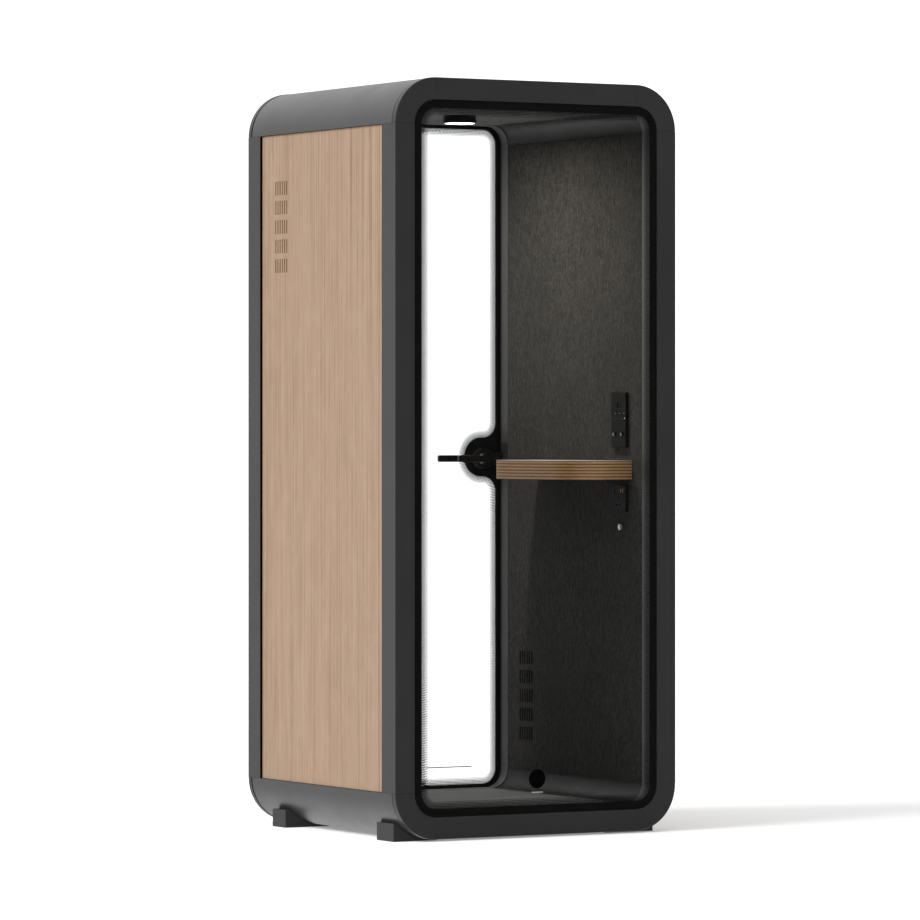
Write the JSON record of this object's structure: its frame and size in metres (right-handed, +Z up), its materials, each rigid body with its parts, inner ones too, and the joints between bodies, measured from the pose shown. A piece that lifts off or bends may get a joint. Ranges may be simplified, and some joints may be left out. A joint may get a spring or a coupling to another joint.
{
  "type": "acoustic phone booth",
  "caption": "Free-standing one-person acoustic phone booth with rounded ends, glass front and glazed door, timber sides, felt lining, wall desk and downlight.",
  "frame": {"origin": "on the ground, under the middle of the whole envelope, outside lever handle included (30.5 mm from the middle of the cabin towards the door)", "axes": "+Z up; -Y towards the fixed glass end, +Y towards the door end; +X towards the wall with the desk"},
  "size_m": [1, 1.017, 2.32],
  "materials": {
    "graphite_paint": "fine-textured powder coat, satin, graphite",
    "grey_paint": "satin grey paint",
    "oak_veneer": "straight-grained pale oak veneer, matt lacquer",
    "wall_felt": "charcoal melange wool felt",
    "acoustic_core": "pressed acoustic fibre infill",
    "panel_board": "raw board",
    "carpet": "short loop pile, grey",
    "clear_glass": "clear, black enamel border with a fading dot screen",
    "black_rubber": "matt",
    "black_metal": "satin black",
    "black_plastic": "fine matt",
    "desk_plywood": "multi-ply edge, pale grey laminate top",
    "bright_steel": "satin",
    "lamp_white": "opal diffuser, lit"
  },
  "bodies": {
    "shell": {"front_left_post": "graphite_paint", "front_right_post": "graphite_paint", "front_top_left_corner": "graphite_paint", "front_top_right_corner": "graphite_paint", "front_top_rail": "graphite_paint", "front_bottom_left_corner": "graphite_paint", "front_bottom_right_corner": "graphite_paint", "front_bottom_rail": "graphite_paint", "rear_left_post": "graphite_paint", "rear_right_post": "graphite_paint", "rear_top_left_corner": "graphite_paint", "rear_top_right_corner": "graphite_paint", "rear_top_rail": "graphite_paint", "rear_bottom_left_corner": "graphite_paint", "rear_bottom_right_corner": "graphite_paint", "rear_bottom_rail": "graphite_paint", "top_cover": "graphite_paint", "bottom_cover": "graphite_paint", "ceiling_liner": "grey_paint", "floor_liner": "grey_paint", "left_side_panel": "oak_veneer", "right_side_panel": "oak_veneer", "left_wall_core": "acoustic_core", "right_wall_core": "acoustic_core", "roof_core": "acoustic_core", "floor_core": "panel_board", "left_felt_panel": "wall_felt", "right_felt_panel": "wall_felt", "ceiling_felt": "wall_felt", "carpet": "carpet", "front_glass": "clear_glass", "front_gasket": "black_rubber", "door_seal": "black_rubber", "front_left_foot": "black_rubber", "front_right_foot": "black_rubber", "rear_left_foot": "black_rubber", "rear_right_foot": "black_rubber", "upper_hinge_frame_leaf": "black_metal", "lower_hinge_frame_leaf": "black_metal", "strike_plate": "black_metal", "desk_bracket": "bright_steel", "coat_peg": "bright_steel", "desk_top": "desk_plywood", "lamp_housing": "black_plastic", "fan_housing": "black_plastic", "control_panel": "black_plastic", "socket_unit": "black_plastic", "lamp_diffuser": "lamp_white"},
    "door": {"door_glass": "clear_glass", "upper_hinge_door_leaf": "black_metal", "lower_hinge_door_leaf": "black_metal", "lock_case": "black_metal", "outer_rosette": "black_metal"},
    "lever": {"inside_lever": "black_metal", "outside_lever": "black_metal"},
    "latch": {"latch_bolt": "bright_steel"},
    "fan": {"fan_rotor": "black_plastic"},
    "left_knob_body": {"left_knob": "bright_steel"},
    "right_knob_body": {"right_knob": "bright_steel"},
    "rocker": {"rocker_switch": "black_plastic"}
  },
  "joints": [
    {"name": "door_hinge", "type": "hinge", "parent": "shell", "child": "door", "pos_m": [-0.434, 0.4545, 1.16], "axis": [0, 0, 1], "range_deg": [0, 105]},
    {"name": "lever_turn", "type": "hinge", "parent": "door", "child": "lever", "pos_m": [0.346, 0.4395, 1.157], "axis": [0, -1, 0], "range_deg": [0, 45]},
    {"name": "latch_slide", "type": "slide", "parent": "door", "child": "latch", "axis": [-1, 0, 0], "range_m": [0, 0.013]},
    {"name": "fan_spin", "type": "hinge", "parent": "shell", "child": "fan", "pos_m": [-0.4575, 0.2375, 1.8875], "axis": [1, 0, 0], "continuous": true},
    {"name": "left_knob_turn", "type": "hinge", "parent": "shell", "child": "left_knob_body", "pos_m": [0.4, -0.2985, 1.236], "axis": [1, 0, 0], "range_deg": [0, 270]},
    {"name": "right_knob_turn", "type": "hinge", "parent": "shell", "child": "right_knob_body", "pos_m": [0.4, -0.3425, 1.236], "axis": [1, 0, 0], "range_deg": [0, 270]},
    {"name": "rocker_tilt", "type": "hinge", "parent": "shell", "child": "rocker", "pos_m": [0.408, -0.2965, 1.059], "axis": [0, 1, 0], "range_deg": [-6, 6]}
  ],
  "couplings": [
    {"joint": "latch_slide", "follows": "lever_turn", "m_per_rad": 0.0159}
  ]
}
